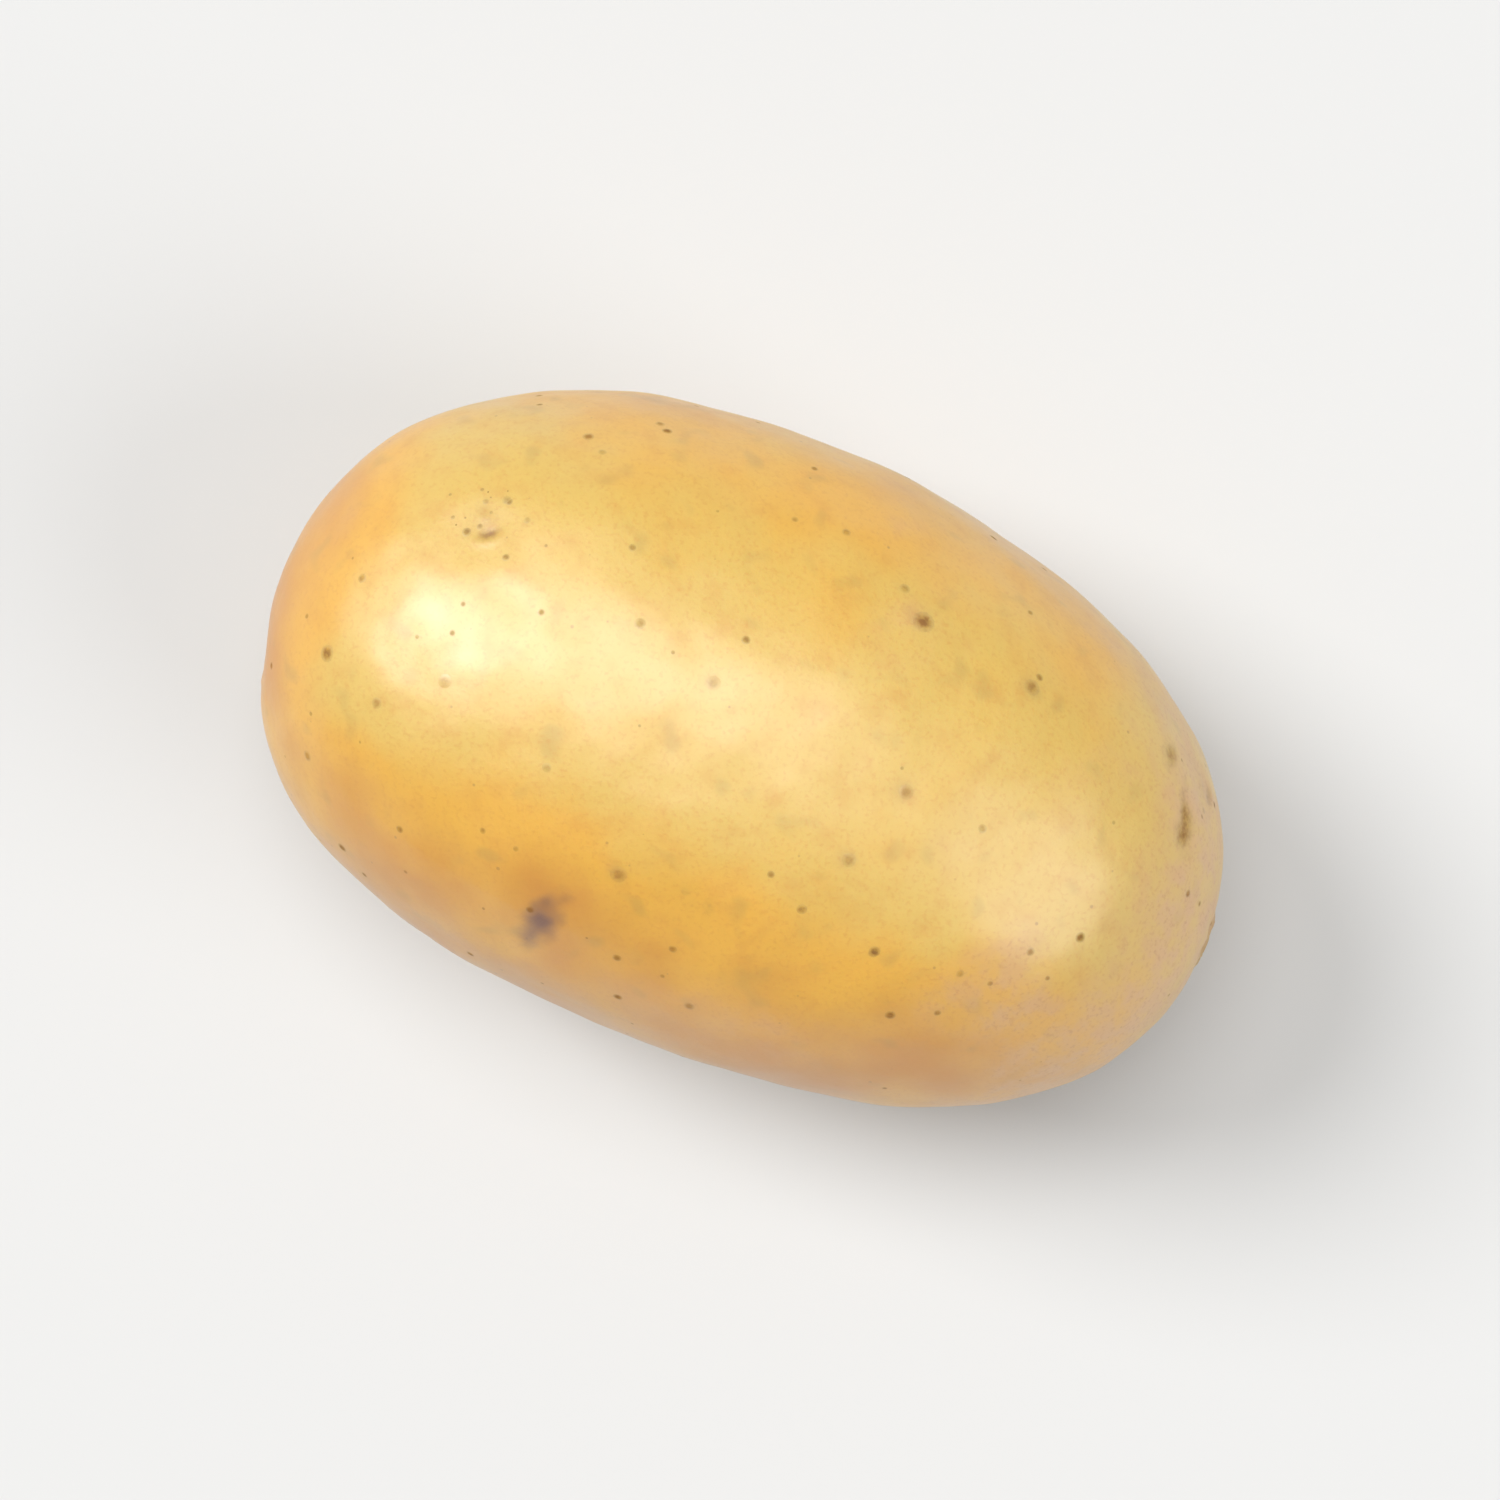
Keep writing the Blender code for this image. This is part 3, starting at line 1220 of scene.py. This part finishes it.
@dataclass
class Lenticels:
    """The breathing pores: tiny corky flecks on the skin, some placed and the rest scattered.

    Attributes:
        skin: the skin that they grow on.
        placed: the flecks whose places are known.
        material: the skin's finish.
        spacing: the least distance between two scattered ones.
        density: how many are scattered on a square metre, at most.
        smallest: the least radius of a scattered one.
        largest: the greatest radius of a scattered one.
        rise: how high one stands, as a share of its radius.
        sink: how deep its rim is set in the skin.
        seed: what the scatter is drawn from.
        sides: how many sides each one's disc has.
        rings: how many rings each one's disc has.
        skew: how much commoner small ones are than large ones.
        tones: how dark the smallest and the largest scattered ones are.
        core: how much of one's radius its full tone fills.
    """

    skin: bpy.types.Object
    placed: list[Fleck]
    material: bpy.types.Material
    spacing: float = 2.6 * MM
    density: float = 70_000.0
    smallest: float = 0.16 * MM
    largest: float = 0.65 * MM
    rise: float = 0.05
    sink: float = 0.010 * MM
    seed: int = 11
    sides: int = 12
    rings: int = 3
    skew: float = 2.2
    tones: tuple[float, float] = (0.25, 0.9)
    core: float = 0.2

    def build(self) -> bpy.types.Object:
        """Builds the flecks as one plain mesh.

        Returns:
            The flecks' object.
        """
        placed = self._placed_points()
        flecks = put("lenticels", self.skin.data.copy())
        tree = self._tree()
        modifier = flecks.modifiers.new("lenticels", "NODES")
        modifier.node_group = tree
        for item in tree.interface.items_tree:  # named as the fields are, but for two
            if item.in_out == "INPUT" and item.name != "Geometry":
                value = placed if item.name == "Placed" else getattr(self, item.name.lower())
                modifier[item.identifier] = value
        bpy.context.view_layer.update()
        shown = flecks.evaluated_get(bpy.context.evaluated_depsgraph_get())
        mesh = bpy.data.meshes.new_from_object(shown)
        flecks.modifiers.clear()
        flecks.data = mesh
        mesh.name = "lenticels"
        bpy.data.objects.remove(placed)
        return flecks

    def _placed_points(self) -> bpy.types.Object:
        """Makes an object that tells the nodes of the placed flecks.

        Returns:
            The object, a loose point for each fleck with its radius and tone.
        """
        mesh = bpy.data.meshes.new("placed_flecks")
        mesh.from_pydata([tuple(fleck.centre) for fleck in self.placed], [], [])
        for name in ("radius", "tone"):
            layer = mesh.attributes.new(f"fleck_{name}", "FLOAT", "POINT")
            layer.data.foreach_set("value", [getattr(fleck, name) for fleck in self.placed])
        return put("placed_flecks", mesh)

    def _tree(self) -> bpy.types.NodeTree:
        """Builds the nodes that scatter flecks, add the placed ones and press all to the skin.

        Returns:
            The tree.
        """
        tree = bpy.data.node_groups.new("lenticels", "GeometryNodeTree")
        kinds = {"Geometry": "Geometry", "Placed": "Object", "Seed": "Int"}
        sizes = ("Spacing", "Density", "Smallest", "Largest", "Rise", "Sink")
        for name, kind in (kinds | dict.fromkeys(sizes, "Float")).items():
            tree.interface.new_socket(name, in_out="INPUT", socket_type=f"NodeSocket{kind}")
        tree.interface.new_socket("Geometry", in_out="OUTPUT", socket_type="NodeSocketGeometry")
        node, given = partial(add_node, tree), add_node(tree, "NodeGroupInput").outputs
        discs = self._instanced(tree, given, self._scattered(tree, given))
        pressed = {"Geometry": self._pressed(tree, given, discs)}
        smooth = node("GeometryNodeSetShadeSmooth", inputs=pressed)
        dress = {"Geometry": smooth, "Material": self.material}
        dressed = node("GeometryNodeSetMaterial", inputs=dress)
        node("NodeGroupOutput", inputs={"Geometry": dressed})
        return tree

    def _scattered(self, tree: bpy.types.NodeTree, given: Mapping[str, Source]) -> bpy.types.Node:
        """Scatters points on the skin and joins the placed ones to them.

        Args:
            tree: the flecks' tree.
            given: the tree's inputs.

        Returns:
            The node of the points, with each one's radius and tone.
        """
        node = partial(add_node, tree)
        points = node(
            "GeometryNodeDistributePointsOnFaces",
            {"distribute_method": "POISSON"},
            {
                "Mesh": given["Geometry"],
                "Distance Min": given["Spacing"],
                "Density Max": given["Density"],
                "Density Factor": node(
                    "GeometryNodeInputNamedAttribute", FLOAT, {"Name": Mask.SCATTER.value}
                ),
                "Seed": given["Seed"],
            },
        )
        chance = node("FunctionNodeRandomValue", inputs={"Seed": given["Seed"]})
        skewed = node("ShaderNodeMath", {"operation": "POWER"}, (chance, self.skew))
        ranges = {"fleck_radius": (given["Smallest"], given["Largest"]), "fleck_tone": self.tones}
        for name, (least, most) in ranges.items():
            levels = {"Value": skewed, "To Min": least, "To Max": most}
            value = node("ShaderNodeMapRange", inputs=levels)
            kept = {"Geometry": points, "Name": name, "Value": value}
            points = node("GeometryNodeStoreNamedAttribute", FLOAT_POINT, kept)
        placed = node("GeometryNodeObjectInfo", inputs={"Object": given["Placed"]})
        loose = node("GeometryNodeMeshToPoints", inputs={"Mesh": placed.outputs["Geometry"]})
        both = node("GeometryNodeJoinGeometry", inputs={"Geometry": loose})
        tree.links.new(points.outputs["Geometry"], both.inputs["Geometry"])
        return both

    def _instanced(
        self, tree: bpy.types.NodeTree, given: Mapping[str, Source], points: Source
    ) -> bpy.types.Node:
        """Sets a small ringed disc, flat on the skin, at each point.

        Args:
            tree: the flecks' tree.
            given: the tree's inputs.
            points: the points.

        Returns:
            The node of the discs, as a real mesh.
        """
        node = partial(add_node, tree)
        disc = node(
            "GeometryNodeMeshCone",
            {"fill_type": "NONE"},
            {
                "Vertices": self.sides,
                "Side Segments": self.rings,
                "Radius Top": 0.0,
                "Radius Bottom": 1.0,
                "Depth": 0.02,
            },
        )
        position = node("GeometryNodeInputPosition")
        reach = node("ShaderNodeVectorMath", {"operation": "LENGTH"}, (position,))
        kept = {"Geometry": disc, "Name": "fleck_reach", "Value": reach}
        disc = node("GeometryNodeStoreNamedAttribute", FLOAT_POINT, kept)
        upright = {"Mesh": given["Geometry"], "Value": node("GeometryNodeInputNormal")}
        outward = node("GeometryNodeSampleNearestSurface", VECTOR, upright)
        turn = node("FunctionNodeAlignRotationToVector", {"axis": "Z"}, {"Vector": outward})
        radius = node("GeometryNodeInputNamedAttribute", FLOAT, {"Name": "fleck_radius"})
        places = {"Points": points, "Instance": disc, "Rotation": turn, "Scale": radius}
        discs = node("GeometryNodeInstanceOnPoints", inputs=places)
        return node("GeometryNodeRealizeInstances", inputs={"Geometry": discs})

    def _pressed(
        self, tree: bpy.types.NodeTree, given: Mapping[str, Source], flecks: Source
    ) -> bpy.types.Node:
        """Presses each disc to the skin as a low dome, and hands it the skin's masks.

        Args:
            tree: the flecks' tree.
            given: the tree's inputs.
            flecks: the discs.

        Returns:
            The node of the finished flecks, not yet dressed.
        """
        node, skin = partial(add_node, tree), {"Mesh": given["Geometry"]}
        position, normal = node("GeometryNodeInputPosition"), node("GeometryNodeInputNormal")
        nearest, outward = (
            node("GeometryNodeSampleNearestSurface", VECTOR, {**skin, "Value": value})
            for value in (position, normal)
        )
        reach, radius, tone = (
            node("GeometryNodeInputNamedAttribute", FLOAT, {"Name": f"fleck_{name}"})
            for name in ("reach", "radius", "tone")
        )
        squared = node("ShaderNodeMath", {"operation": "MULTIPLY"}, (reach, reach))
        height = node("ShaderNodeMath", {"operation": "SUBTRACT"}, (1.0, squared))
        for factor in (radius, given["Rise"]):
            height = node("ShaderNodeMath", {"operation": "MULTIPLY"}, (height, factor))
        above = node("ShaderNodeMath", {"operation": "SUBTRACT"}, (height, given["Sink"]))
        lift = node("ShaderNodeVectorMath", {"operation": "SCALE"}, {0: outward, "Scale": above})
        place = node("ShaderNodeVectorMath", {"operation": "ADD"}, (nearest, lift))
        flecks = node("GeometryNodeSetPosition", inputs={"Geometry": flecks, "Position": place})
        levels = {"Value": reach, "From Min": self.core, "To Min": 1.0, "To Max": 0.0}
        fade = node("ShaderNodeMapRange", SMOOTH, levels)
        own_cork = node("ShaderNodeMath", {"operation": "MULTIPLY"}, (fade, tone))
        # the flecks take the skin's masks, the painted shading among them
        for mask in (Mask.DEPTH, Mask.EYE, Mask.BRUISE, Mask.HALO, Mask.DUST, Mask.CORK):
            value = node("GeometryNodeInputNamedAttribute", FLOAT, {"Name": mask.value})
            value = node("GeometryNodeSampleNearestSurface", FLOAT, {**skin, "Value": value})
            if mask is Mask.CORK:
                value = node("ShaderNodeMath", {"operation": "MAXIMUM"}, (value, own_cork))
            kept = {"Geometry": flecks, "Name": mask.value, "Value": value}
            flecks = node("GeometryNodeStoreNamedAttribute", FLOAT_POINT, kept)
        return flecks


# -------- the studio


@dataclass(frozen=True)
class PaperFinish:
    """Matt white card, which gives the plain pale ground.

    Attributes:
        white: its colour, as sRGB hex.
        roughness: how rough it is.
        gloss: how much it shines.
    """

    white: str = "#D1D1D0"
    roughness: float = 0.9
    gloss: float = 0.2

    def material(self) -> bpy.types.Material:
        """Builds the finish.

        Returns:
            The material.
        """
        material = bpy.data.materials.new("matt_white_card")
        material.use_nodes = True
        shader = material.node_tree.nodes["Principled BSDF"]
        shader.inputs["Base Color"].default_value = linear(self.white)
        shader.inputs["Roughness"].default_value = self.roughness
        shader.inputs["Specular IOR Level"].default_value = self.gloss
        return material


@dataclass(frozen=True)
class SoftLight:
    """A broad soft light, far enough off to light the whole floor evenly.

    Attributes:
        name: what it is called.
        zenith: its angle from straight overhead, in degrees.
        bearing: its direction in degrees, counter-clockwise from the camera's right.
        spread: the angle that it fills, in degrees.
        strength: its power on a square metre that faces it.
    """

    name: str
    zenith: float
    bearing: float
    spread: float
    strength: float

    def hang(self, turn: float) -> None:
        """Hangs the light.

        Args:
            turn: how far the camera is turned about the vertical.
        """
        data = bpy.data.lights.new(self.name, "SUN")
        data.angle = math.radians(self.spread)
        data.energy = self.strength
        light = put(self.name, data)
        zenith, flat = math.radians(self.zenith), math.radians(self.bearing) + turn
        away = Vector((
            math.sin(zenith) * math.cos(flat),
            math.sin(zenith) * math.sin(flat),
            math.cos(zenith),
        ))
        light.location = away
        light.rotation_mode = "QUATERNION"
        light.rotation_quaternion = away.to_track_quat("Z", "Y")


@dataclass
class Studio:
    """A plain pale floor, soft light from the left and above, and a camera straight overhead.

    Attributes:
        middle: the middle of the potato.
        half: half of its size along each axis.
        turn: how far the camera is turned about the vertical, so the potato lies aslant.
        lens: the camera's focal length, in millimetres.
        share_of_frame: how much of the camera's view the potato's length would fill.
        floor_size: how long each side of the floor is.
        sky: how bright the room is.
        horizon: how bright the room looks.
        lights: the lights.
    """

    middle: np.ndarray
    half: np.ndarray
    turn: float = math.radians(22.5)
    lens: float = 85.0
    share_of_frame: float = 0.66
    floor_size: float = 60.0
    sky: float = 0.28
    horizon: float = 0.90
    lights: tuple[SoftLight, ...] = (
        SoftLight("key", 45, 152, 27, 2.12),
        SoftLight("overhead", 13, 105, 35, 1.40),
        SoftLight("fill", 50, -25, 36, 0.95),
    )

    def build(self) -> None:
        """Sets up the floor, the lights and the camera."""
        self._floor()
        for light in self.lights:
            light.hang(self.turn)
        self._world()
        self._camera()

    def _floor(self) -> None:
        """Lays the floor just under the potato."""
        plane = bmesh.new()
        bmesh.ops.create_grid(plane, x_segments=1, y_segments=1, size=self.floor_size / 2)
        mesh = bpy.data.meshes.new("floor")
        plane.to_mesh(mesh)
        plane.free()
        mesh.materials.append(PaperFinish().material())
        floor = put("floor", mesh)
        floor.location.z = self.middle[2] - self.half[2]

    def _world(self) -> None:
        """Fills the room with soft white light, and shows it as pale as the floor."""
        world = bpy.data.worlds.new("white_room")
        world.use_nodes = True
        tree = world.node_tree
        tree.nodes.clear()
        node = partial(add_node, tree)
        seen = node("ShaderNodeLightPath").outputs["Is Camera Ray"]
        levels = {"Value": seen, "To Min": self.sky, "To Max": self.horizon}
        strength = node("ShaderNodeMapRange", inputs=levels)
        white = node("ShaderNodeBackground", inputs={"Color": (1, 1, 1, 1), "Strength": strength})
        node("ShaderNodeOutputWorld", inputs={"Surface": white})
        scene = bpy.context.scene
        scene.world = world
        scene.view_settings.view_transform = "Standard"

    def _camera(self) -> None:
        """Sets the camera straight over the potato, so that it fills its share of the frame."""
        data = bpy.data.cameras.new("camera")
        data.lens = self.lens
        camera = put("camera", data)
        width = 2 * self.half[0] / self.share_of_frame
        distance = width * self.lens / data.sensor_width
        camera.location = Vector(self.middle) + Vector((0, 0, distance))
        camera.rotation_euler = (0, 0, self.turn)
        bpy.context.scene.camera = camera


# -------- the whole


def main() -> None:
    """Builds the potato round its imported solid, then the studio round the potato."""
    logging.basicConfig(level=logging.INFO, format="%(name)s: %(message)s")
    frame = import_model()
    form = TuberForm(frame["nodes"]["potato"])
    LOG.info("form: %d points", len(form.points))
    eyes = EyeSpiral(form).eyes()
    LOG.info("eyes: %d", len(eyes))
    material = PeridermFinish().material()
    skin = TuberSkin(form, eyes, material).build()
    LOG.info("skin: %d faces", len(skin.data.polygons))
    placed = [
        Fleck(form.below(mark.x * MM, mark.y * MM).centre, mark.radius * MM, mark.tone)
        for mark in CROWN_MARKS
    ]
    placed += [fleck for eye in eyes for fleck in eye.flecks()]
    lenticels = Lenticels(skin, placed, material).build()
    LOG.info("lenticels: %d placed, %d faces in all", len(placed), len(lenticels.data.polygons))
    for piece in (skin, lenticels):
        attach(piece, "root")
    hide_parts("potato")
    Studio(form.middle, form.half).build()


if __name__ == "__main__":
    main()
